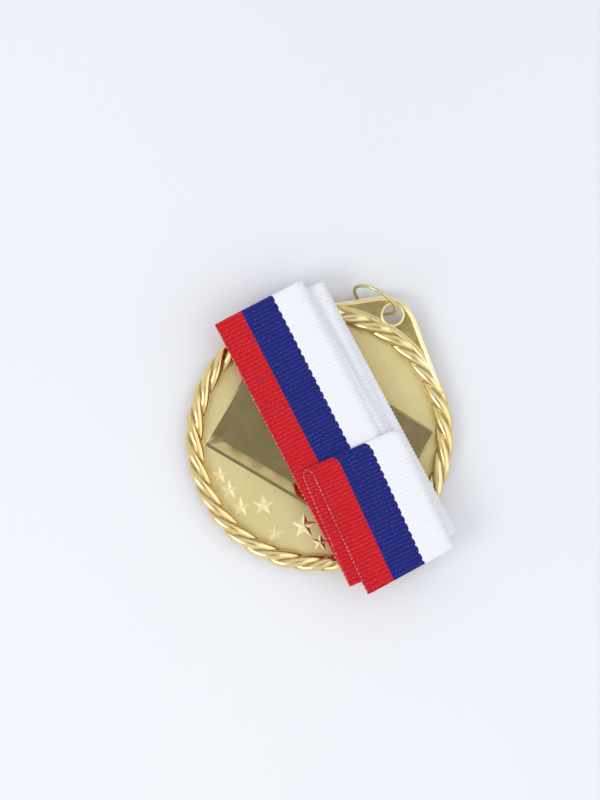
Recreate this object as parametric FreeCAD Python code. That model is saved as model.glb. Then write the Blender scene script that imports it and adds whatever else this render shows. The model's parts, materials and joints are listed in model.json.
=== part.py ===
import FreeCAD, Part
import math
import os

# A neck medal: a cast disc with a twisted-rope rim and a pointed hanging tab, a wire
# jump ring through the tab, and a striped neck ribbon folded up on the face.
#
# Millimetres. The origin is the centre of the flat back, +Z points out of the face and
# +Y points to the hanging tab.

Vector = FreeCAD.Vector
ORIGIN = Vector(0, 0, 0)
UP = Vector(0, 0, 1)

# Disc and rim
DISC_DIAMETER = 70.0
RIM_WIDTH = 4.8
RIM_TOP = 4.4
RIM_BOTTOM = 0.1
FIELD_TOP = 1.6
BACK_RADIUS = 31.8

# Polished panel sunk in the field
PANEL_LENGTH = 49.8
PANEL_WIDTH = 33.4
PANEL_DEPTH = 0.25

# Raised stars below the panel: distance from the centre, angle from straight down
# (positive towards -X) and tip radius
STARS = [
    (27.9, 39.5, 2.7),
    (27.2, 30.0, 2.9),
    (27.4, 18.5, 3.0),
    (22.8, 9.6, 3.3),
    (27.4, -5.5, 2.9),
    (23.2, -20.6, 3.9),
    (27.2, -31.0, 2.9),
    (27.9, -41.0, 2.7),
]
STAR_TURN = 30.5
STAR_NOTCH_SHARE = 0.42
STAR_HEIGHT = 0.5
STAR_SINK = 0.1

# Hanging tab: its outline wraps the disc and a small tip circle
TAB_WRAP_RADIUS = 34.4
TAB_TIP_RADIUS = 9.2
TAB_TIP_CENTRE_Y = 32.5
TAB_BOTTOM = 2.6
TAB_TOP = 3.6
BEAD_WIDTH = 1.25
BEAD_TOP = 4.2
HOLE_RADIUS = 2.45
HOLE_CENTRE_Y = 37.5
BOSS_RADIUS = 3.15
BOSS_TOP = 3.95
ROOT_BAND_RADII = (34.0, 35.2)
ROOT_BAND_TOP = 3.9

# Jump ring: it pivots on a line along X through the hole, at mid-thickness of the tab,
# and leans by its tilt up from the tab's plane
RING_RADIUS = 5.9
RING_WIRE_RADIUS = 0.43
RING_PIVOT = Vector(-6.0, 37.1, 0.5 * (TAB_BOTTOM + TAB_TOP))
RING_CENTRE_FROM_PIVOT = 3.2
RING_TILT = 68.0
RING_CUT_ANGLE = 1.5

# Neck ribbon: a sewn loop laid double and folded into five runs and a short flap
RIBBON_WIDTH = 25.2
RIBBON_HEADING = -31.6
RIBBON_BOTTOM = 4.6
RUN_THICKNESS = 0.95
# Each run, lowest first: its two ends along the ribbon, its middle across the ribbon,
# and its turn away from the ribbon's heading
RUNS = [
    (-36.2, 38.0, 7.25, 0.5),
    (-36.6, 38.0, 7.45, 0.2),
    (-36.6, 37.8, 5.3, -3.2),
    (-38.6, 37.8, 2.8, 0.6),
    (-38.8, 38.2, 2.0, -0.6),
    (5.9, 41.2, 7.1, -3.1),
]
RUN_OVERLAP = 0.02

# Stitched seam on the underside of the lowest run
SEAM_ROWS = (6.0, 16.0)
STITCHES_PER_ROW = 9
STITCH_LENGTH = 1.6
STITCH_WIDTH = 0.4
STITCH_THICKNESS = 0.12
SEAM_MARGIN = 2.0

RIM_OUTER_RADIUS = DISC_DIAMETER / 2
RIM_MID_RADIUS = RIM_OUTER_RADIUS - RIM_WIDTH / 2


def rope_rim():
    """The rim's envelope: an oval section turned round the disc."""
    oval = Part.Ellipse(ORIGIN, RIM_WIDTH / 2, (RIM_TOP - RIM_BOTTOM) / 2)
    section = Part.Face(Part.Wire([oval.toShape()]))
    section.rotate(ORIGIN, Vector(1, 0, 0), 90)
    section.translate(Vector(RIM_MID_RADIUS, 0, (RIM_TOP + RIM_BOTTOM) / 2))
    return section.revolve(ORIGIN, UP, 360)


def tab_slab(inset, bottom, top):
    """The tab's outline moved in by inset, from bottom to top, cut off inside the rim."""
    disc_radius = TAB_WRAP_RADIUS - inset
    tip_radius = TAB_TIP_RADIUS - inset
    lean = math.acos((disc_radius - tip_radius) / TAB_TIP_CENTRE_Y)
    across, along = math.sin(lean), math.cos(lean)
    low_right = Vector(disc_radius * across, disc_radius * along, bottom)
    low_left = Vector(-low_right.x, low_right.y, bottom)
    high_right = Vector(tip_radius * across, TAB_TIP_CENTRE_Y + tip_radius * along, bottom)
    high_left = Vector(-high_right.x, high_right.y, bottom)
    tip = Vector(0, TAB_TIP_CENTRE_Y + tip_radius, bottom)
    outline = Part.Wire([
        Part.LineSegment(low_left, low_right).toShape(),
        Part.LineSegment(low_right, high_right).toShape(),
        Part.Arc(high_right, tip, high_left).toShape(),
        Part.LineSegment(high_left, low_left).toShape(),
    ])
    slab = Part.Face(outline).extrude(UP * (top - bottom))
    inside_rim = Part.makeCylinder(RIM_MID_RADIUS, RIM_TOP + 1)
    return slab.cut(inside_rim)


def root_band():
    """The band along the rope where the tab springs from it."""
    inner, outer = (Part.makeCylinder(radius, RIM_TOP + 1) for radius in ROOT_BAND_RADII)
    return outer.cut(inner).common(tab_slab(0, TAB_BOTTOM, ROOT_BAND_TOP))


def tab():
    """The hanging tab: a plate with a bead round its edge, a boss and the root band."""
    plate = tab_slab(0, TAB_BOTTOM, TAB_TOP)
    bead = tab_slab(0, TAB_BOTTOM, BEAD_TOP).cut(
        tab_slab(BEAD_WIDTH, TAB_BOTTOM - 1, BEAD_TOP + 1)
    )
    boss_foot = Vector(0, HOLE_CENTRE_Y, TAB_BOTTOM)
    boss = Part.makeCylinder(BOSS_RADIUS, BOSS_TOP - TAB_BOTTOM, boss_foot)
    return plate.fuse([bead, boss, root_band()])


def star(distance, angle, tip_radius):
    """A five-pointed star with ridged arms, its base just under the field."""
    turn = math.radians(angle)
    centre = Vector(-distance * math.sin(turn), -distance * math.cos(turn), 0)
    rim_points = []
    for step in range(10):
        radius = tip_radius * (STAR_NOTCH_SHARE if step % 2 else 1)
        direction = math.radians(90 + STAR_TURN + 36 * step)
        rim_points.append(centre + Vector(
            radius * math.cos(direction), radius * math.sin(direction), FIELD_TOP - STAR_SINK
        ))
    peak = centre + UP * (FIELD_TOP + STAR_HEIGHT)
    faces = [Part.Face(Part.makePolygon(rim_points + rim_points[:1]))]
    for step in range(10):
        corners = [rim_points[step], rim_points[(step + 1) % 10], peak]
        faces.append(Part.Face(Part.makePolygon(corners + corners[:1])))
    solid = Part.Solid(Part.Shell(faces))
    if solid.Volume < 0:
        solid.reverse()
    return solid


def medallion():
    """The whole casting: disc with its sunk panel, rim, tab and stars."""
    disc = Part.makeCylinder(BACK_RADIUS, FIELD_TOP)
    panel_corner = Vector(-PANEL_LENGTH / 2, -PANEL_WIDTH / 2, FIELD_TOP - PANEL_DEPTH)
    panel = Part.makeBox(PANEL_LENGTH, PANEL_WIDTH, RIM_TOP, panel_corner)
    hole = Part.makeCylinder(HOLE_RADIUS, RIM_TOP + 2, Vector(0, HOLE_CENTRE_Y, -1))
    stars = [star(*place) for place in STARS]
    casting = disc.cut(panel).fuse([rope_rim(), tab()] + stars)
    return casting.cut(hole).removeSplitter()


def jump_ring():
    """A round wire ring, butt-cut at its top, leaning out over the tab's edge."""
    ring = Part.makeTorus(
        RING_RADIUS, RING_WIRE_RADIUS, ORIGIN, UP, 0, 360, 360 - RING_CUT_ANGLE
    )
    ring.rotate(ORIGIN, UP, 90 + RING_CUT_ANGLE / 2)
    ring.translate(Vector(0, RING_CENTRE_FROM_PIVOT, 0))
    ring.rotate(ORIGIN, Vector(1, 0, 0), RING_TILT)
    ring.translate(RING_PIVOT)
    return ring


def along_ribbon(shape, turn=0):
    """Turns a shape made along X to the ribbon's heading."""
    shape.rotate(ORIGIN, UP, RIBBON_HEADING + turn)
    return shape


def neck_ribbon():
    """The folded stack's envelope, one slab for each double run."""
    slabs = []
    for level, (start, end, middle, turn) in enumerate(RUNS):
        low = RIBBON_BOTTOM + level * RUN_THICKNESS
        corner = Vector(start, middle - RIBBON_WIDTH / 2, low)
        slab = Part.makeBox(end - start, RIBBON_WIDTH, RUN_THICKNESS + RUN_OVERLAP, corner)
        slabs.append(along_ribbon(slab, turn))
    return slabs[0].fuse(slabs[1:]).removeSplitter()


def seam_stitches():
    """Two rows of thread stitches across the lapped ends of the ribbon."""
    middle = RUNS[0][2]
    first = middle - RIBBON_WIDTH / 2 + SEAM_MARGIN
    pitch = (RIBBON_WIDTH - 2 * SEAM_MARGIN - STITCH_LENGTH) / (STITCHES_PER_ROW - 1)
    stitches = []
    for row in SEAM_ROWS:
        for step in range(STITCHES_PER_ROW):
            corner = Vector(row, first + step * pitch, RIBBON_BOTTOM - STITCH_THICKNESS)
            thread = Part.makeBox(STITCH_WIDTH, STITCH_LENGTH, STITCH_THICKNESS, corner)
            stitches.append(along_ribbon(thread, RUNS[0][3]))
    return Part.makeCompound(stitches)


NODES = {
    "medallion": medallion,
    "jump_ring": jump_ring,
    "neck_ribbon": neck_ribbon,
    "seam_stitches": seam_stitches,
}

os.makedirs("parts", exist_ok=True)
for node, make in NODES.items():
    shape = make()
    shape.exportStep("parts/" + node + ".step")
    print(node, len(shape.Solids), "solids, volume", round(shape.Volume, 1), shape.isValid())
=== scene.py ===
import json
import math

import bpy
import numpy as np
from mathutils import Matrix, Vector


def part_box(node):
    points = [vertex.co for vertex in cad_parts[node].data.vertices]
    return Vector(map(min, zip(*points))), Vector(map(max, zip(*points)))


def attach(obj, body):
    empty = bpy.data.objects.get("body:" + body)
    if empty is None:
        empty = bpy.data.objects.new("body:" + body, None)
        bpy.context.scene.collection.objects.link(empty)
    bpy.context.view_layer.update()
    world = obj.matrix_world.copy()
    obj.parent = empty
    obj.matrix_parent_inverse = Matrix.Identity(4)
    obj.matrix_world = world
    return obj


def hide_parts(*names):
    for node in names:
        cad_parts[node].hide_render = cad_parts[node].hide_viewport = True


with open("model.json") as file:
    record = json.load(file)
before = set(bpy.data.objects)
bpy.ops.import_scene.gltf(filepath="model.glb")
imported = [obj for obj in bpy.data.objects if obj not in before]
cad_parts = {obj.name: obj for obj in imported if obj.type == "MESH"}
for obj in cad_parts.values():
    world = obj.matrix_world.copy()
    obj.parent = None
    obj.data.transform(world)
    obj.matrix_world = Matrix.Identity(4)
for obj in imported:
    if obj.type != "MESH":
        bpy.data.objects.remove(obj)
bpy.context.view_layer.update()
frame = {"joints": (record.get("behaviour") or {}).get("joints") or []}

# A neck medal: the cast disc with its rope rim, stars and tab, the wire ring through the
# tab, and the striped ribbon folded up on the face. Lengths are in millimetres, in the
# frame's axes, and become metres in link().
MM = 0.001

# Disc
RIM_OUTER_RADIUS = 35.0
RIM_WIDTH = 4.8
RIM_TOP = 4.4
RIM_BOTTOM = 0.1
RIM_MID_RADIUS = RIM_OUTER_RADIUS - RIM_WIDTH / 2
RIM_MID_Z = (RIM_TOP + RIM_BOTTOM) / 2
FIELD_TOP = 1.6
BACK_RADIUS = 31.8
FIELD_RADIUS = BACK_RADIUS - 0.2

# Sunk panel: its sides slope out by the bevel, and its floor rises towards its edges over
# the dish's width, but for a level margin along them. The rise is higher along the lower
# edge, and falls off with the distance from it.
PANEL_HALF = (24.9, 16.7)
PANEL_DEPTH = 0.25
PANEL_BEVEL = 0.18
PANEL_SINK = 0.13
PANEL_DISH = 3.4
PANEL_DISH_START = 0.75
PANEL_RISE = 0.07
LOWER_EDGE_RISE = 0.27
LOWER_EDGE_REACH = 2.0
POINTS_PER_SIDE = 48

# Twisted rope: strands crossing the rim, and strands passed on one trip round its section
ROPE_STRANDS = 31
ROPE_PLIES = 3
ROPE_GROOVE = 1.35
ROPE_START = math.radians(-2.3)
RINGS_PER_STRAND = 26
POINTS_ROUND_ROPE = 96

# Stars: distance from the centre, angle from straight down (positive towards -X), tip radius
STARS = [
    (27.9, 39.5, 2.7),
    (27.2, 30.0, 2.9),
    (27.4, 18.5, 3.0),
    (22.8, 9.6, 3.3),
    (27.4, -5.5, 2.9),
    (23.2, -20.6, 3.9),
    (27.2, -31.0, 2.9),
    (27.9, -41.0, 2.7),
]
STAR_TURN = 30.5
STAR_NOTCH_SHARE = 0.42
STAR_HEIGHT = 0.5

# Hanging tab: its outline wraps the disc and a small tip circle
TAB_WRAP_RADIUS = 34.4
TAB_TIP_RADIUS = 9.2
TAB_TIP_CENTRE_Y = 32.5
TAB_LEAN = math.acos((TAB_WRAP_RADIUS - TAB_TIP_RADIUS) / TAB_TIP_CENTRE_Y)
TAB_BOTTOM = 2.6
TAB_TOP = 3.6
TAB_ROUNDING = 0.12
BEAD_WIDTH = 1.25
BEAD_TOP = 4.2
HOLE_RADIUS = 2.45
HOLE_CENTRE_Y = 37.5
BOSS_RADIUS = 3.15
BOSS_TOP = 3.95
ROOT_BAND_RADII = (34.0, 35.2)
ROOT_BAND_TOP = 3.9

# Jump ring: its wire's two ends are chamfered where they meet
WIRE_RADIUS = 0.43
RING_CUT_ANGLE = math.radians(1.5)
WIRE_END_SHARE = 0.86
WIRE_CHAMFER = 0.12

# Neck ribbon, with the directions along it and across it
RIBBON_WIDTH = 25.2
RIBBON_HEADING = math.radians(-31.6)
ALONG = np.array([math.cos(RIBBON_HEADING), math.sin(RIBBON_HEADING)])
OVER = np.array([-math.sin(RIBBON_HEADING), math.cos(RIBBON_HEADING)])
RIBBON_BOTTOM = 4.62
PLY_PITCH = 0.472
PLY_HALF_THICKNESS = 0.155
RIB_HEIGHT = 0.05
RIB_PITCH = 1.065
SAMPLES_PER_RIB = 4
RIBBON_COLUMNS = 12
# The folds in order along the doubled strip: the place along the stack and the middle
# across it, for the outer ply and then for the inner one
FOLDS = [
    (-36.0, 6.9, -36.0, 6.9),
    (37.8, 7.6, 37.2, 7.5),
    (-36.4, 7.3, -35.8, 7.3),
    (37.6, 3.2, 37.0, 3.2),
    (-38.6, 2.45, -38.0, 2.5),
    (41.0, 4.9, 38.0, 1.6),
    (6.1, 6.8, 6.1, 4.3),
]
DOUBLE_RUNS = len(FOLDS) - 1
# The length of ribbon over which a change of its slant is smoothed
TURN_SOFTNESS = 3.0
# How far its free ends droop, from where and over what length
DROOP = 0.35
DROOP_START = 31.0
DROOP_LENGTH = 10.0

# Stripes: how much of the ribbon's width the red and the blue take, and the dyes
RED_SHARE = 0.302
BLUE_SHARE = 0.357
RED_DYE = (0.60, 0.005, 0.014, 1)
BLUE_DYE = (0.008, 0.015, 0.205, 1)
WHITE_DYE = (0.90, 0.905, 0.965, 1)
PALE_FLECK = (0.75, 0.72, 0.88, 1)
# Pale dashes on the rib tops along the red edge
SELVAGE_PALE_DASHES = (0.92, 0.46, 0.44, 1)
SELVAGE_WIDTH = 0.30
THREAD_PITCH = 0.31

# Seam on the underside of the lowest run
SEAM_MIDDLE = 7.3
SEAM_ROWS = (6.0, 16.0)
STITCHES_PER_ROW = 9
STITCH_LENGTH = 1.6
STITCH_WIDTH = 0.4
SEAM_MARGIN = 2.4

# Gold tints, deep and pale
WARM_TINTS = ((0.82, 0.62, 0.24, 1), (0.92, 0.76, 0.42, 1))
SATIN_TINTS = ((0.73, 0.62, 0.30, 1), (0.80, 0.70, 0.39, 1))
BROWN_TINTS = ((0.78, 0.58, 0.20, 1), (0.90, 0.72, 0.34, 1))
OLIVE_TINTS = ((0.58, 0.49, 0.24, 1), (0.74, 0.65, 0.38, 1))
# A paler copy of the casting's gold for the stars, the bead and the boss: painted highlight
PAINTED_HIGHLIGHT_TINTS = ((0.92, 0.78, 0.42, 1), (0.98, 0.88, 0.58, 1))
# Warm brown painted into the rope's creases as shade
CREASE_PAINTED_SHADE = (0.17, 0.11, 0.033, 1)

# View: the medal's turn in the picture, the picture's centre in the medal's frame, and
# how much of the floor its long side covers
MEDAL_TURN = math.radians(30.5)
VIEW_CENTRE = (-9.5, 6.1)
VIEW_HEIGHT = 208.2
CAMERA_LENS = 100.0
CAMERA_SENSOR = 36.0

# Square lights: name, bearing anticlockwise from the picture's right, height above the
# floor, both in degrees, then distance, size and power in watts
LIGHTS = [
    ("left", 205, 42, 700, 300, 1.25),
    ("right", 355, 45, 700, 900, 1.45),
]
# The room's brightness by height, from 0 at the horizon to 1 straight overhead
ROOM_LEVELS = [(0.0, 0.83), (0.60, 0.83), (0.94, 0.77), (0.975, 0.58), (0.99, 0.28), (1.0, 0.23)]
FLOOR_HALF = 3000.0


# ---------------------------------------------------------------- mesh helpers

def link(name, points, faces, smooth=True):
    """A new mesh object from points in millimetres."""
    mesh = bpy.data.meshes.new(name)
    mesh.from_pydata((np.asarray(points) * MM).tolist(), [], faces)
    mesh.update()
    mesh.polygons.foreach_set("use_smooth", [smooth] * len(mesh.polygons))
    obj = bpy.data.objects.new(name, mesh)
    bpy.context.scene.collection.objects.link(obj)
    return obj


def grid_faces(rows, columns, close_rows=False, close_columns=False):
    """Quads over a grid of points stored row by row."""
    faces = []
    for i in range(rows if close_rows else rows - 1):
        for j in range(columns if close_columns else columns - 1):
            here, below = i * columns, (i + 1) % rows * columns
            right = (j + 1) % columns
            faces.append((here + j, below + j, below + right, here + right))
    return faces


def tube(name, rings, closed=False):
    """A tube through rings of points, closed on itself or with flat ends."""
    rings = np.asarray(rings)
    rows, columns = rings.shape[:2]
    faces = grid_faces(rows, columns, closed, True)
    if not closed:
        faces.append(tuple(range(columns)))
        faces.append(tuple(reversed(range((rows - 1) * columns, rows * columns))))
    return link(name, rings.reshape(-1, 3), faces)


def face_outwards(obj):
    """Turns the faces of a closed mesh to look out of it."""
    mesh = obj.data
    mesh.calc_loop_triangles()
    count = len(mesh.loop_triangles)
    corners = np.zeros(count * 3, np.int32)
    mesh.loop_triangles.foreach_get("vertices", corners)
    places = np.zeros(len(mesh.vertices) * 3)
    mesh.vertices.foreach_get("co", places)
    a, b, c = places.reshape(-1, 3)[corners.reshape(-1, 3)].transpose(1, 0, 2)
    if np.einsum("ij,ij->i", a, np.cross(b, c)).sum() < 0:
        mesh.flip_normals()
    return obj


# ---------------------------------------------------------------- materials

def material(name):
    """A new node material, its node tree and its main shader."""
    made = bpy.data.materials.new(name)
    made.use_nodes = True
    return made, made.node_tree, made.node_tree.nodes["Principled BSDF"]


def node(tree, kind, **settings):
    """A new node, each setting given to its socket or property of that name."""
    made = tree.nodes.new(kind)
    for key, value in settings.items():
        if key in made.inputs:
            made.inputs[key].default_value = value
        else:
            setattr(made, key, value)
    return made


def noise(tree, scale, detail=3.0, roughness=0.5):
    """Noise in the object's own coordinates, with scale in features per millimetre."""
    place = node(tree, "ShaderNodeTexCoord")
    made = node(tree, "ShaderNodeTexNoise", Scale=scale / MM, Detail=detail, Roughness=roughness)
    tree.links.new(place.outputs["Object"], made.inputs["Vector"])
    return made.outputs["Fac"]


def spread(tree, value, low, high, from_low=0.3, from_high=0.7):
    """Stretches a value to the range low to high."""
    made = node(tree, "ShaderNodeMapRange")
    made.inputs["From Min"].default_value = from_low
    made.inputs["From Max"].default_value = from_high
    made.inputs["To Min"].default_value = low
    made.inputs["To Max"].default_value = high
    tree.links.new(value, made.inputs["Value"])
    return made.outputs["Result"]


def bump(tree, height, depth, strength=1.0, under=None):
    """Bump with its depth in millimetres."""
    made = node(tree, "ShaderNodeBump", Strength=strength, Distance=depth * MM)
    tree.links.new(height, made.inputs["Height"])
    if under is not None:
        tree.links.new(under, made.inputs["Normal"])
    return made.outputs["Normal"]


def math_node(tree, operation, first, second=None):
    """A maths node on numbers or sockets."""
    made = node(tree, "ShaderNodeMath", operation=operation)
    for socket, value in zip(made.inputs, (first, second)):
        if isinstance(value, (int, float)):
            socket.default_value = value
        elif value is not None:
            tree.links.new(value, socket)
    return made.outputs[0]


def mix_colour(tree, share, first, second):
    """A mix of two colours, each a tuple or a socket."""
    made = node(tree, "ShaderNodeMix", data_type="RGBA")
    tree.links.new(share, made.inputs[0])
    for socket, value in ((made.inputs[6], first), (made.inputs[7], second)):
        if isinstance(value, tuple):
            socket.default_value = value
        else:
            tree.links.new(value, socket)
    return made.outputs[2]


def mix_number(tree, share, first, second):
    """A mix of two numbers, each a number or a socket."""
    made = node(tree, "ShaderNodeMix", data_type="FLOAT")
    tree.links.new(share, made.inputs[0])
    for socket, value in ((made.inputs[2], first), (made.inputs[3], second)):
        if isinstance(value, (int, float)):
            socket.default_value = value
        else:
            tree.links.new(value, socket)
    return made.outputs[0]


def gold(name, tints, roughness, roughness_swing, grain_depth, grain_scale, wave_depth):
    """Gold plate: slow changes of tint and of roughness, which swings to either side, a fine
    grain with its scale in features per millimetre, and a slow wave."""
    made, tree, shader = material(name)
    deep, pale = tints
    patches = noise(tree, 0.10, 2.0)
    colour = mix_colour(tree, spread(tree, patches, 0.2, 0.8), deep, pale)
    tree.links.new(colour, shader.inputs["Base Color"])
    shader.inputs["Metallic"].default_value = 1.0
    low, high = roughness - roughness_swing, roughness + roughness_swing
    tree.links.new(spread(tree, noise(tree, 0.5, 3.0), low, high), shader.inputs["Roughness"])
    waves = bump(tree, noise(tree, 0.14, 1.0), wave_depth)
    grain = bump(tree, noise(tree, grain_scale, 6.0, 0.65), grain_depth, under=waves)
    tree.links.new(grain, shader.inputs["Normal"])
    return made


def paint_shade_in_creases(made):
    """Painted shade in the creases of the rope: a warm brown mixed into the gold by its crest map.
    """
    tree = made.node_tree
    shader = tree.nodes["Principled BSDF"]
    crests = node(tree, "ShaderNodeAttribute", attribute_name="crest")
    colour = shader.inputs["Base Color"].links[0].from_socket
    height = spread(tree, crests.outputs["Fac"], 0.0, 1.0, 0.10, 0.72)
    tree.links.new(mix_colour(tree, height, CREASE_PAINTED_SHADE, colour), shader.inputs["Base Color"])


def weave_noise(tree, weave, scale, detail, roughness):
    """Noise in the coordinates of the weave map."""
    made = node(tree, "ShaderNodeTexNoise", Scale=scale, Detail=detail, Roughness=roughness)
    tree.links.new(weave, made.inputs["Vector"])
    return made.outputs["Fac"]


def rib_wave(tree, ribs, pitch):
    """A round swell over every stretch of that many ribs."""
    return math_node(tree, "ABSOLUTE", math_node(tree, "SINE", math_node(
        tree, "MULTIPLY", ribs, math.pi / pitch)))


def stripes(tree, across, ribs, flecks):
    """The dyes of the three stripes, and the two steps from one to the next: red to blue
    runs straight, and blue to white in scallops of two ribs."""
    red_edge = math_node(tree, "ADD", across, spread(tree, flecks, -0.12, 0.12))
    scallop = math_node(tree, "SUBTRACT", rib_wave(tree, ribs, 2), 0.6)
    blue_edge = math_node(tree, "SUBTRACT", red_edge, math_node(tree, "MULTIPLY", scallop, 0.36))
    to_blue = math_node(tree, "GREATER_THAN", red_edge, RED_SHARE * RIBBON_WIDTH)
    to_white = math_node(
        tree, "GREATER_THAN", blue_edge, (RED_SHARE + BLUE_SHARE) * RIBBON_WIDTH)
    coloured = mix_colour(tree, to_blue, RED_DYE, BLUE_DYE)
    return mix_colour(tree, to_white, coloured, WHITE_DYE), to_blue, to_white


def pale_flecks_and_dashes(tree, dyed, across, swell, flecks, beading):
    """The dyed fabric with pale flecks on its ribs and pale dashes on its ribs along the red edge.
    """
    picked = math_node(tree, "MULTIPLY", spread(tree, flecks, 0.0, 1.0, 0.56, 0.70),
                       spread(tree, swell, 0.0, 0.20, 0.3, 1.0))
    dyed = mix_colour(tree, picked, dyed, PALE_FLECK)
    selvage = math_node(tree, "MULTIPLY", math_node(tree, "LESS_THAN", across, SELVAGE_WIDTH),
                        spread(tree, swell, 0.15, 0.75, 0.4, 0.8))
    selvage = math_node(tree, "MULTIPLY", selvage, spread(tree, beading, 0.05, 0.85, 0.38, 0.62))
    return mix_colour(tree, selvage, dyed, SELVAGE_PALE_DASHES)


def painted_rib_shade(tree, to_blue, to_white, swell, flecks, beading):
    """Painted shade in the grooves between the ribs and painted light on their tops, as a factor
    on the dye: uneven on the coloured stripes and nearly level on the white one."""
    # Painted groove shade, deeper on the blue than on the red, and painted light on the rib tops
    painted_groove_shade = mix_number(tree, to_blue, spread(tree, beading, 0.45, 0.95),
                        spread(tree, beading, 0.15, 0.75))
    coloured = mix_number(tree, spread(tree, swell, 0.0, 1.0, 0.0, 0.75), painted_groove_shade, 1.08)
    white = spread(tree, swell, 0.95, 1.0, 0.0, 0.8)
    mottle = mix_number(tree, to_white, spread(tree, flecks, 0.72, 1.24), 1.0)
    return math_node(tree, "MULTIPLY", mix_number(tree, to_white, coloured, white), mottle)


def ribbon_fabric():
    """Grosgrain in three stripes. The map's first axis is the place across the ribbon in
    millimetres and its second counts ribs."""
    made, tree, shader = material("ribbon_grosgrain")
    weave = node(tree, "ShaderNodeUVMap", uv_map="weave").outputs["UV"]
    split = node(tree, "ShaderNodeSeparateXYZ")
    tree.links.new(weave, split.inputs["Vector"])
    across, ribs = split.outputs["X"], split.outputs["Y"]
    flecks = weave_noise(tree, weave, 3.4, 4.0, 0.65)
    drifts = weave_noise(tree, weave, 0.45, 3.0, 0.6)
    beading = weave_noise(tree, weave, 1.5, 2.0, 0.6)
    wandering = math_node(tree, "ADD", ribs, spread(tree, drifts, -0.16, 0.16))
    swell = rib_wave(tree, wandering, 1)
    dyed, to_blue, to_white = stripes(tree, across, wandering, flecks)
    # The dye times painted shade in the grooves and painted light on the ribs
    shaded = node(tree, "ShaderNodeVectorMath", operation="SCALE")
    tree.links.new(pale_flecks_and_dashes(tree, dyed, across, swell, flecks, beading), shaded.inputs[0])
    tree.links.new(painted_rib_shade(tree, to_blue, to_white, swell, flecks, beading),
                   shaded.inputs["Scale"])
    tree.links.new(shaded.outputs[0], shader.inputs["Base Color"])
    shader.inputs["Roughness"].default_value = 0.8
    shader.inputs["Specular IOR Level"].default_value = 0.25
    shader.inputs["Sheen Weight"].default_value = 0.06
    shader.inputs["Sheen Roughness"].default_value = 0.45
    threads = math_node(tree, "SINE", math_node(
        tree, "MULTIPLY", across, math.tau / THREAD_PITCH))
    ribbed = bump(tree, mix_number(tree, to_white, swell, 0.5), 0.08, 0.6)
    threaded = bump(tree, threads, 0.03, 0.7, ribbed)
    tree.links.new(bump(tree, flecks, 0.08, 0.8, threaded), shader.inputs["Normal"])
    return made


def thread():
    """White sewing thread with a fine twist."""
    made, tree, shader = material("white_thread")
    fibres = noise(tree, 5.0, 5.0)
    tree.links.new(
        mix_colour(tree, fibres, (0.74, 0.74, 0.78, 1), (0.92, 0.92, 0.95, 1)),
        shader.inputs["Base Color"])
    shader.inputs["Roughness"].default_value = 0.65
    tree.links.new(bump(tree, fibres, 0.05), shader.inputs["Normal"])
    return made


def floor_material():
    """A matt, slightly cool white sheet."""
    made, tree, shader = material("floor_sheet")
    tone = spread(tree, noise(tree, 0.004, 2.0), 0.0, 1.0)
    tree.links.new(mix_colour(tree, tone, (0.80, 0.82, 0.87, 1), (0.83, 0.845, 0.885, 1)),
                   shader.inputs["Base Color"])
    shader.inputs["Roughness"].default_value = 0.9
    return made


# ---------------------------------------------------------------- medallion

def rope_rim():
    """A rope of round strands laid round the rim's oval section, its creases deepest on the
    outer side. Its crest map is 1 on top of a strand and lowest in the creases."""
    turn = np.linspace(0, math.tau, ROPE_STRANDS * RINGS_PER_STRAND, endpoint=False)[:, None]
    section = np.linspace(0, math.tau, POINTS_ROUND_ROPE, endpoint=False)[None, :]
    phase = (ROPE_STRANDS * (turn - ROPE_START) - ROPE_PLIES * section) / math.tau
    from_crest = np.abs(2 * (phase % 1) - 1)
    # A strand is fuller than a half cosine, and its creases aren't quite sharp
    crest = np.cos(math.pi / 2 * from_crest * 0.985) ** 0.75
    crest = 1 - (1 - crest) * (0.78 + 0.22 * np.cos(section))
    shrink = 1 - ROPE_GROOVE / (RIM_WIDTH / 2) * (1 - crest)
    radius = RIM_MID_RADIUS + RIM_WIDTH / 2 * shrink * np.cos(section)
    height = RIM_MID_Z + (RIM_TOP - RIM_BOTTOM) / 2 * shrink * np.sin(section)
    rings = np.stack([radius * np.cos(turn), radius * np.sin(turn), height], axis=-1)
    rope = face_outwards(tube("rope_rim", rings, closed=True))
    crests = rope.data.attributes.new("crest", "FLOAT", "POINT")
    crests.data.foreach_set("value", crest.ravel())
    return rope


def rectangle_loop(half_x, half_y):
    """Points round a rectangle, anticlockwise, evenly spaced on each side."""
    corners = [(half_x, -half_y), (half_x, half_y), (-half_x, half_y), (-half_x, -half_y)]
    loop = []
    for side in range(4):
        start, end = np.array(corners[side]), np.array(corners[(side + 1) % 4])
        loop += [start + (end - start) * step / POINTS_PER_SIDE for step in range(POINTS_PER_SIDE)]
    return np.array(loop)


def circle_loop(radius):
    """Points round a circle that face those of the panel's rectangle."""
    lean = math.atan2(PANEL_HALF[1], PANEL_HALF[0])
    corners = [-lean, lean, math.pi - lean, math.pi + lean, math.tau - lean]
    angles = []
    for side in range(4):
        angles += list(np.linspace(
            corners[side], corners[side + 1], POINTS_PER_SIDE, endpoint=False))
    return radius * np.stack([np.cos(angles), np.sin(angles)], axis=1)


def panel_rise(inset):
    """The share of its rise that the panel's floor has at that distance from its edge:
    level along the edge, then an even slope."""
    share = np.clip((inset - PANEL_DISH_START) / (PANEL_DISH - PANEL_DISH_START), 0, 1)
    return (1 - share) ** 1.15


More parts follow.
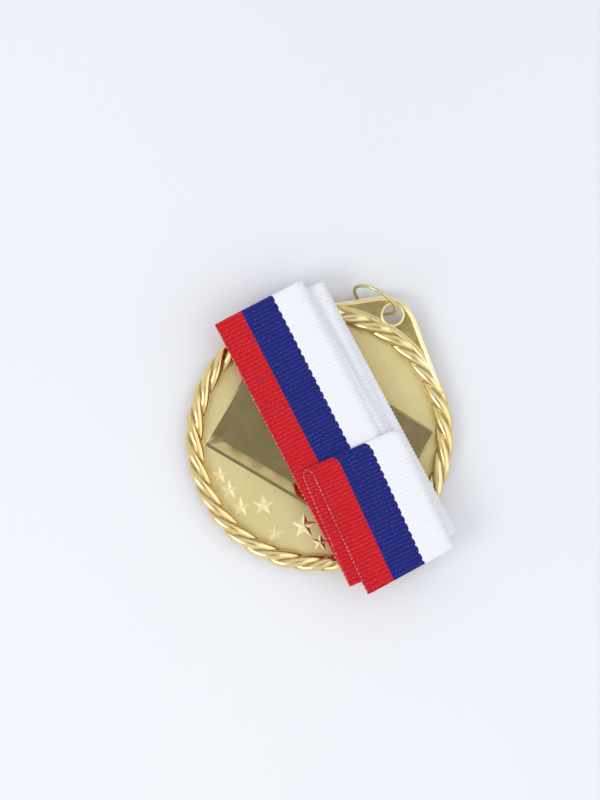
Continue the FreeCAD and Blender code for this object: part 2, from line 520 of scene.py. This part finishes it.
def medal_disc():
    """The disc inside the rope: flat back, field and the sunk panel with sloped sides. The
    panel is dished towards its edges, most along its lower one."""
    a, b = PANEL_HALF
    floor = FIELD_TOP - PANEL_DEPTH - PANEL_SINK
    layers = [(circle_loop(radius), height) for radius, height in (
        (6, 0), (14, 0), (22, 0), (28, 0), (30.8, 0), (BACK_RADIUS - 0.5, 0.02),
        (BACK_RADIUS, 0.3), (BACK_RADIUS + 0.4, 0.9), (BACK_RADIUS, FIELD_TOP - 0.02),
        (FIELD_RADIUS, FIELD_TOP))]
    outer = circle_loop(FIELD_RADIUS)
    field_edge = rectangle_loop(a + PANEL_BEVEL, b + PANEL_BEVEL)
    for share in (0.25, 0.5, 0.75, 0.97):
        layers.append((outer + (field_edge - outer) * share, FIELD_TOP))
    layers.append((field_edge, FIELD_TOP - 0.02))
    for inset in np.linspace(0, PANEL_DISH, 24):
        loop = rectangle_loop(a - inset, b - inset)
        from_lower_edge = loop[:, 1] + b - inset
        rise = PANEL_RISE + LOWER_EDGE_RISE * np.exp(-(from_lower_edge / LOWER_EDGE_REACH) ** 2)
        layers.append((loop, floor + rise * panel_rise(inset)))
    inner = rectangle_loop(a - PANEL_DISH, b - PANEL_DISH)
    for share in (0.85, 0.65, 0.45, 0.25, 0.1):
        layers.append((inner * share, floor))
    points = [
        np.column_stack([loop, np.broadcast_to(height, len(loop))]) for loop, height in layers]
    columns = 4 * POINTS_PER_SIDE
    faces = grid_faces(len(points), columns, False, True)
    points = np.concatenate(points + [[[0, 0, 0]], [[0, 0, floor]]])
    back, front = len(points) - 2, len(points) - 1
    last = (len(layers) - 1) * columns
    for j in range(columns):
        after = (j + 1) % columns
        faces.append((back, j, after))
        faces.append((front, last + after, last + j))
    return face_outwards(link("medal_disc", points, faces))


def assign_panel(obj, slot):
    """Gives the panel's faces, which lie inside its rectangle, another material slot."""
    a, b = PANEL_HALF
    for polygon in obj.data.polygons:
        x, y, z = polygon.center / MM
        if z > FIELD_TOP / 2 and abs(x) < a and abs(y) < b:
            polygon.material_index = slot


def stars():
    """Raised five-pointed stars with sharp ridges."""
    points, faces = [], []
    for distance, angle, tip_radius in STARS:
        turn = math.radians(angle)
        centre = np.array([-distance * math.sin(turn), -distance * math.cos(turn)])
        first = len(points)
        for step in range(10):
            radius = tip_radius * (STAR_NOTCH_SHARE if step % 2 else 1)
            direction = math.radians(90 + STAR_TURN + 36 * step)
            corner = centre + radius * np.array([math.cos(direction), math.sin(direction)])
            points.append((*corner, FIELD_TOP - 0.05))
        points.append((*centre, FIELD_TOP + STAR_HEIGHT))
        for step in range(10):
            faces.append((first + step, first + (step + 1) % 10, first + 10))
        faces.append(tuple(first + step for step in reversed(range(10))))
    return link("raised_stars", points, faces, smooth=False)


def tab_path(samples_on_line=40, samples_on_tip=48):
    """Steps along the tab's outline: how far each is from the disc to the tip's circle,
    and its direction out."""
    steps = []
    for share in np.linspace(0, 1, samples_on_line, endpoint=False):
        steps.append((share, math.pi / 2 - TAB_LEAN))
    for share in np.linspace(-1, 1, samples_on_tip):
        steps.append((1.0, math.pi / 2 + TAB_LEAN * share))
    for share in np.linspace(1, 0, samples_on_line + 1)[1:]:
        steps.append((share, math.pi / 2 + TAB_LEAN))
    return steps


def tab_point(step, inset):
    """The outline moved in by inset, at a step of tab_path."""
    share, direction = step
    out = np.array([math.cos(direction), math.sin(direction)])
    wrap = out * (TAB_WRAP_RADIUS - inset)
    tip = np.array([0, TAB_TIP_CENTRE_Y]) + out * (TAB_TIP_RADIUS - inset)
    return wrap + (tip - wrap) * share


def tab_plate():
    """The flat of the tab with its hole, closed inside the rope."""
    steps = tab_path()
    outline = [tab_point(step, TAB_ROUNDING) for step in steps]
    last = steps[-1][1]
    for angle in np.linspace(last, math.pi - last, 30)[1:-1]:
        outline.append((RIM_MID_RADIUS + 0.6) * np.array([math.cos(angle), math.sin(angle)]))
    hole = [
        (HOLE_RADIUS + 0.25) * np.array([math.cos(a), math.sin(a)]) + (0, HOLE_CENTRE_Y)
        for a in np.linspace(0, -math.tau, 64, endpoint=False)
    ]
    curve = bpy.data.curves.new("tab_plate", "CURVE")
    curve.dimensions = "2D"
    curve.fill_mode = "BOTH"
    curve.extrude = (TAB_TOP - TAB_BOTTOM) / 2 * MM - TAB_ROUNDING * MM
    curve.bevel_depth = TAB_ROUNDING * MM
    curve.bevel_resolution = 2
    for loop in (outline, hole):
        spline = curve.splines.new("POLY")
        spline.points.add(len(loop) - 1)
        for point, place in zip(spline.points, loop):
            point.co = (place[0] * MM, place[1] * MM, 0, 1)
        spline.use_cyclic_u = True
    shaped = bpy.data.objects.new("tab_curve", curve)
    mesh = bpy.data.meshes.new_from_object(shaped)
    bpy.data.objects.remove(shaped)
    for vertex in mesh.vertices:
        vertex.co.z += (TAB_TOP + TAB_BOTTOM) / 2 * MM
    obj = bpy.data.objects.new("tab_plate", mesh)
    bpy.context.scene.collection.objects.link(obj)
    return obj


def tab_bead():
    """A rounded bead along the tab's edge, running down into the rope at both ends."""
    foot = TAB_TOP - 0.15
    rings = []
    for step in tab_path():
        rise = min(1.0, 0.15 + step[0] * 4)
        ring = []
        for angle in np.linspace(0, math.pi, 15):
            inset = BEAD_WIDTH / 2 * (1 - math.cos(angle))
            lift = (BEAD_TOP - foot) * math.sin(angle) * rise
            ring.append((*tab_point(step, inset), foot + lift))
        ring.append((*tab_point(step, BEAD_WIDTH * 0.95), TAB_TOP - 0.5))
        ring.append((*tab_point(step, 0.0), TAB_BOTTOM + 0.3))
        rings.append(ring)
    return face_outwards(tube("tab_bead", rings))


def tab_boss():
    """A rounded collar round the hole, lining its wall."""
    section = [
        (HOLE_RADIUS + 0.12, TAB_BOTTOM), (HOLE_RADIUS + 0.03, TAB_BOTTOM + 0.06),
        (HOLE_RADIUS, TAB_BOTTOM + 0.18), (HOLE_RADIUS, BOSS_TOP - 0.3),
        (HOLE_RADIUS + 0.06, BOSS_TOP - 0.12), (HOLE_RADIUS + 0.2, BOSS_TOP - 0.02),
        (HOLE_RADIUS + 0.35, BOSS_TOP), (BOSS_RADIUS - 0.15, BOSS_TOP - 0.06),
        (BOSS_RADIUS - 0.03, BOSS_TOP - 0.2), (BOSS_RADIUS, TAB_TOP - 0.05),
        (BOSS_RADIUS, TAB_BOTTOM + 0.3), (HOLE_RADIUS + 0.4, TAB_BOTTOM),
    ]
    rings = []
    for angle in np.linspace(0, math.tau, 72, endpoint=False):
        rings.append([
            (r * math.cos(angle), HOLE_CENTRE_Y + r * math.sin(angle), z) for r, z in section
        ])
    return face_outwards(tube("tab_boss", rings, closed=True))


def tab_root_band():
    """The rounded band along the rope where the tab springs from it, narrowing to nothing
    where the tab's edges meet the rope."""
    inner, outer = ROOT_BAND_RADII
    buried = inner - 0.3
    section = [
        (buried, TAB_BOTTOM + 0.2), (buried, ROOT_BAND_TOP),
        (outer - 0.5, ROOT_BAND_TOP), (outer - 0.3, ROOT_BAND_TOP - 0.03),
        (outer - 0.12, ROOT_BAND_TOP - 0.11), (outer, TAB_TOP - 0.02),
        (outer - 0.1, TAB_BOTTOM + 0.2),
    ]
    rings = []
    for angle in np.linspace(-TAB_LEAN, TAB_LEAN, 160):
        edge = (TAB_WRAP_RADIUS - BEAD_WIDTH / 4) / math.cos(TAB_LEAN - abs(angle))
        moved = min(0, edge - outer)
        ring = []
        for radius, z in section:
            reach = max(buried, radius + moved)
            ring.append((reach * math.sin(angle), reach * math.cos(angle), z))
        rings.append(ring)
    return face_outwards(tube("tab_root_band", rings))


# ---------------------------------------------------------------- jump ring

def jump_ring():
    """Round wire bent to a ring whose two ends meet in a butt joint at its top."""
    low, high = (np.array(corner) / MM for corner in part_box("jump_ring"))
    centre = (low + high) / 2
    swing = next(joint for joint in frame["joints"] if joint["name"] == "ring_swing")
    pivot = np.array(swing["pos_m"]) / MM
    lean = math.atan2(centre[2] - pivot[2], centre[1] - pivot[1])
    radius = (high[0] - low[0]) / 2 - WIRE_RADIUS
    up = np.array([0, math.cos(lean), math.sin(lean)])
    side = np.array([1.0, 0, 0])
    normal = np.cross(side, up)
    cut = RING_CUT_ANGLE / 2
    rings = []
    for angle in np.linspace(cut, math.tau - cut, 220):
        out = up * math.cos(angle) + side * math.sin(angle)
        middle = centre + radius * out
        end = min(angle - cut, math.tau - cut - angle) * radius
        chamfer = (1 - WIRE_END_SHARE) * min(1.0, end / WIRE_CHAMFER)
        thick = WIRE_RADIUS * (WIRE_END_SHARE + chamfer)
        rings.append([
            middle + thick * (out * math.cos(a) + normal * math.sin(a))
            for a in np.linspace(0, math.tau, 28, endpoint=False)
        ])
    return face_outwards(tube("wire_ring", rings))


# ---------------------------------------------------------------- ribbon

def ply_height(ply):
    """The height of the middle of a ply, counted from the lowest."""
    return RIBBON_BOTTOM + (ply + 0.5) * PLY_PITCH


def ribbon_turn(fold, run, ply):
    """The place and middle of the turn a ply makes at a fold, and the turn's radius."""
    outer_place, outer_middle, inner_place, inner_middle = FOLDS[fold]
    if fold in (0, DOUBLE_RUNS):
        upper = ply == 2 * run + 1
        return outer_place, outer_middle if upper else inner_middle, PLY_PITCH / 2
    outer = ply == 2 * run if fold == run + 1 else ply == 2 * run + 1
    if outer:
        return outer_place, outer_middle, PLY_PITCH * 1.5
    return inner_place, inner_middle, PLY_PITCH / 2


def ribbon_path():
    """The closed centreline of the loop: place along, middle across, height and slant.

    The loop is laid double: it goes up the stack through one ply of each run and comes
    back down through the other, turning at every fold inside or outside its partner."""
    ups = [2 * run + run % 2 for run in range(DOUBLE_RUNS)]
    order = [(run, run, run + 1, ply) for run, ply in enumerate(ups)]
    order += [(run, run + 1, run, 4 * run + 1 - ups[run]) for run in reversed(range(DOUBLE_RUNS))]
    points, slants = [], []
    for index, (run, start, end, ply) in enumerate(order):
        start_place, start_middle, start_radius = ribbon_turn(start, run, ply)
        end_place, end_middle, radius = ribbon_turn(end, run, ply)
        side = 1 if end_place > start_place else -1
        first, last = start_place + side * start_radius, end_place - side * radius
        slants.append((end_middle - start_middle) / (last - first))
        steps = round(abs(last - first) / 0.4)
        for share in np.linspace(0, 1, steps, endpoint=False):
            points.append((first + (last - first) * share,
                           start_middle + (end_middle - start_middle) * share,
                           ply_height(ply), index))
        next_run, _, _, next_ply = order[(index + 1) % len(order)]
        next_middle = ribbon_turn(end, next_run, next_ply)[1]
        low, high = ply_height(ply), ply_height(next_ply)
        for angle in np.linspace(0, math.pi, 12, endpoint=False):
            points.append((last + side * radius * math.sin(angle),
                           end_middle + (next_middle - end_middle) * angle / math.pi,
                           (low + high) / 2 - (high - low) / 2 * math.cos(angle),
                           index))
    path = np.array(points)
    path[:, 3] = np.array(slants)[path[:, 3].astype(int)]
    return path


def resample(points, step):
    """The closed line again with even steps, and its whole length."""
    closed = np.vstack([points, points[:1]])
    moves = np.linalg.norm(np.diff(closed[:, [0, 2]], axis=0), axis=1)
    lengths = np.concatenate([[0], np.cumsum(moves)])
    count = round(lengths[-1] / step)
    at = np.linspace(0, lengths[-1], count, endpoint=False)
    return np.stack([np.interp(at, lengths, column) for column in closed.T], axis=1), lengths[-1]


def soften(values, window):
    """A closed row of values averaged over a window of that many samples."""
    half = window // 2
    ends = np.concatenate([values[-half:], values, values[:half]])
    return np.convolve(ends, np.ones(2 * half + 1) / (2 * half + 1), mode="valid")


def neck_ribbon():
    """The folded loop as one closed band of ribbed webbing, and the length of the loop."""
    rough = ribbon_path()
    length = resample(rough, 1)[1]
    step = length / round(length / RIB_PITCH) / SAMPLES_PER_RIB
    line, length = resample(rough, step)
    window = round(TURN_SOFTNESS / step)
    line[:, 1] = soften(line[:, 1], window)
    slant = soften(line[:, 3], window)
    count = len(line)
    ahead = np.roll(line, -1, axis=0) - np.roll(line, 1, axis=0)
    ahead /= np.hypot(ahead[:, 0], ahead[:, 2])[:, None]
    normal = np.column_stack([-ahead[:, 2], np.zeros(count), ahead[:, 0]])
    rib_phase = np.arange(count) / SAMPLES_PER_RIB
    rib = -np.cos(math.tau * rib_phase)
    across = np.linspace(0, 1, RIBBON_COLUMNS + 1)
    section = [(u, 1) for u in across] + [(u, -1) for u in across[::-1]]
    points = np.zeros((count, len(section), 3))
    uvs = np.zeros((count, len(section), 2))
    for j, (u, side) in enumerate(section):
        selvage = 0.55 if u in (0, 1) else 1.0
        thick = (PLY_HALF_THICKNESS + RIB_HEIGHT * rib) * selvage
        reach = (u - 0.5) * (RIBBON_WIDTH + 0.24 * rib)
        points[:, j] = line[:, :3] + normal * (side * thick)[:, None]
        points[:, j, 1] += reach
        points[:, j, 0] -= reach * slant
        uvs[:, j] = np.column_stack([np.full(count, u * RIBBON_WIDTH), rib_phase])
    places = settle(points.reshape(-1, 3))
    flat = places[:, :1] * ALONG + places[:, 1:2] * OVER
    band = link("neck_ribbon_loop", np.column_stack([flat, places[:, 2]]),
                grid_faces(count, len(section), True, True))
    face_outwards(band)
    add_weave_map(band, uvs, count, len(section))
    return band, length


def settle(places):
    """Lets the ends droop past the rim and the upper plies lift a little, as stiff webbing
    does when nothing holds it down."""
    along, across, height = places.T
    level = (height - RIBBON_BOTTOM) / (2 * DOUBLE_RUNS * PLY_PITCH)
    past = np.clip((np.abs(along) - DROOP_START) / DROOP_LENGTH, 0, 1)
    droop = -DROOP * past ** 2 * (1 - level)
    swell = 0.10 * np.sin(along * 0.21 + 0.8) * np.sin(across * 0.19 + 0.4) * level
    return np.column_stack([along, across, height + droop + swell])


def add_weave_map(band, uvs, rows, columns):
    """Writes the weave map: the rib count runs on at the band's closing row."""
    layer = band.data.uv_layers.new(name="weave")
    ribs_round = uvs[-1, 0, 1] + 1 / SAMPLES_PER_RIB
    corners = np.zeros(len(band.data.loops), np.int32)
    band.data.loops.foreach_get("vertex_index", corners)
    values = uvs.reshape(-1, 2)[corners]
    row = corners // columns
    starts = np.arange(0, len(corners), 4)
    for start in starts[(row[starts] == 0) | (row[starts] == rows - 1)]:
        quad = slice(start, start + 4)
        if set(row[quad]) == {0, rows - 1}:
            values[quad, 1] = np.where(row[quad] == 0, ribs_round, values[quad, 1])
    layer.data.foreach_set("uv", values.ravel())


def seam_stitches():
    """Thread lying in short rounded stitches across the lowest ply."""
    first = SEAM_MIDDLE - RIBBON_WIDTH / 2 + SEAM_MARGIN
    pitch = (RIBBON_WIDTH - 2 * SEAM_MARGIN - STITCH_LENGTH) / (STITCHES_PER_ROW - 1)
    rings, around = 9, 10
    last_ring = (rings - 1) * around
    points, faces = [], []
    for row in SEAM_ROWS:
        for step in range(STITCHES_PER_ROW):
            base = len(points)
            for share in np.linspace(-1, 1, rings):
                plump = math.sqrt(max(0.02, 1 - share ** 2))
                middle = first + step * pitch + STITCH_LENGTH / 2 * (1 + share)
                for angle in np.linspace(0, math.tau, around, endpoint=False):
                    offset = STITCH_WIDTH / 2 * plump * math.cos(angle)
                    place = ALONG * (row + offset) + OVER * middle
                    depth = 0.08 * plump * math.sin(angle)
                    points.append((*place, RIBBON_BOTTOM - 0.03 + depth))
            for face in grid_faces(rings, around, False, True):
                faces.append(tuple(base + corner for corner in face))
            faces.append(tuple(base + corner for corner in range(around)))
            faces.append(tuple(base + last_ring + corner for corner in reversed(range(around))))
    return link("seam_thread", points, faces)


# ---------------------------------------------------------------- assembly

def finish_piece(obj, body, slot, *surfaces):
    """Gives a piece its surfaces and its moving body; its slot is not used."""
    for surface in surfaces:
        obj.data.materials.append(surface)
    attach(obj, body)
    return obj


# Each gold surface: tints, roughness and its swing, the grain's depth and scale, and the
# wave's depth
field_gold = gold("gold_sandblasted", SATIN_TINTS, 0.55, 0.06, 0.030, 5.0, 0.05)
tab_gold = gold("gold_tab", BROWN_TINTS, 0.22, 0.04, 0.003, 3.0, 0.40)
panel_gold = gold("gold_polished", WARM_TINTS, 0.10, 0.03, 0.002, 3.0, 0.30)
rope_gold = gold("gold_rope", WARM_TINTS, 0.19, 0.06, 0.014, 1.2, 0.30)
# Shade painted into the rope's creases
paint_shade_in_creases(rope_gold)
# Stars, bead and boss in paler gold than the rest of the casting: painted highlight
star_gold = gold("gold_star", PAINTED_HIGHLIGHT_TINTS, 0.28, 0.05, 0.010, 3.0, 0.05)
root_gold = gold("gold_root", SATIN_TINTS, 0.34, 0.05, 0.006, 4.0, 0.10)
bead_gold = gold("gold_bead", PAINTED_HIGHLIGHT_TINTS, 0.26, 0.04, 0.003, 3.0, 0.05)
wire_gold = gold("gold_wire", OLIVE_TINTS, 0.26, 0.04, 0.003, 3.0, 0.05)

disc = finish_piece(medal_disc(), "medal", "gold_casting", field_gold, panel_gold)
assign_panel(disc, 1)
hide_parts("medallion")
finish_piece(rope_rim(), "medal", "gold_casting", rope_gold)
finish_piece(stars(), "medal", "gold_casting", star_gold)
finish_piece(tab_plate(), "medal", "gold_casting", tab_gold)
finish_piece(tab_bead(), "medal", "gold_casting", bead_gold)
finish_piece(tab_boss(), "medal", "gold_casting", bead_gold)
finish_piece(tab_root_band(), "medal", "gold_casting", root_gold)

ring = finish_piece(jump_ring(), "ring", "gold_wire", wire_gold)
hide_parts("jump_ring")

band, loop_length = neck_ribbon()
finish_piece(band, "ribbon", "ribbon_fabric", ribbon_fabric())
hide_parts("neck_ribbon")
stitches = finish_piece(seam_stitches(), "ribbon", "seam_thread", thread())
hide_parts("seam_stitches")


# ---------------------------------------------------------------- stage

def floor():
    """The sheet on which the medal lies."""
    corners = [(-1, -1, 0), (1, -1, 0), (1, 1, 0), (-1, 1, 0)]
    sheet = link("floor", np.array(corners) * FLOOR_HALF, [(0, 1, 2, 3)])
    sheet.data.materials.append(floor_material())


def area_light(name, bearing, height, distance, size, power):
    """A soft square light aimed at the medal."""
    turn, rise = math.radians(bearing) + MEDAL_TURN, math.radians(height)
    away = Vector((math.cos(rise) * math.cos(turn), math.cos(rise) * math.sin(turn),
                   math.sin(rise)))
    data = bpy.data.lights.new(name, "AREA")
    data.size = size * MM
    data.energy = power
    light = bpy.data.objects.new(name, data)
    light.location = away * distance * MM
    light.rotation_mode = "QUATERNION"
    light.rotation_quaternion = (-away).to_track_quat("-Z", "Y")
    bpy.context.scene.collection.objects.link(light)


def surroundings():
    """A pale room, brighter low down and darker overhead."""
    world = bpy.data.worlds.new("studio")
    bpy.context.scene.world = world
    world.use_nodes = True
    tree = world.node_tree
    direction = node(tree, "ShaderNodeTexCoord")
    split = node(tree, "ShaderNodeSeparateXYZ")
    ramp = node(tree, "ShaderNodeValToRGB")
    for place, _ in ROOM_LEVELS[1:-1]:
        ramp.color_ramp.elements.new(place)
    for element, (_, level) in zip(ramp.color_ramp.elements, ROOM_LEVELS):
        element.color = (level * 0.98, level * 0.99, level, 1)
    tree.links.new(direction.outputs["Generated"], split.inputs["Vector"])
    tree.links.new(split.outputs["Z"], ramp.inputs["Fac"])
    tree.links.new(ramp.outputs["Color"], tree.nodes["Background"].inputs["Color"])


def camera():
    """A camera straight above the medal, turned so that the medal slants as it should."""
    data = bpy.data.cameras.new("camera")
    data.lens = CAMERA_LENS
    data.sensor_width = CAMERA_SENSOR
    distance = VIEW_HEIGHT * CAMERA_LENS / CAMERA_SENSOR
    made = bpy.data.objects.new("camera", data)
    made.location = Vector((*VIEW_CENTRE, distance + RIM_TOP)) * MM
    made.rotation_euler = (0, 0, MEDAL_TURN)
    data.clip_start = 0.01
    data.clip_end = 20
    bpy.context.scene.collection.objects.link(made)
    bpy.context.scene.camera = made


floor()
surroundings()
for light in LIGHTS:
    area_light(*light)
camera()
bpy.context.scene.view_settings.view_transform = "Standard"
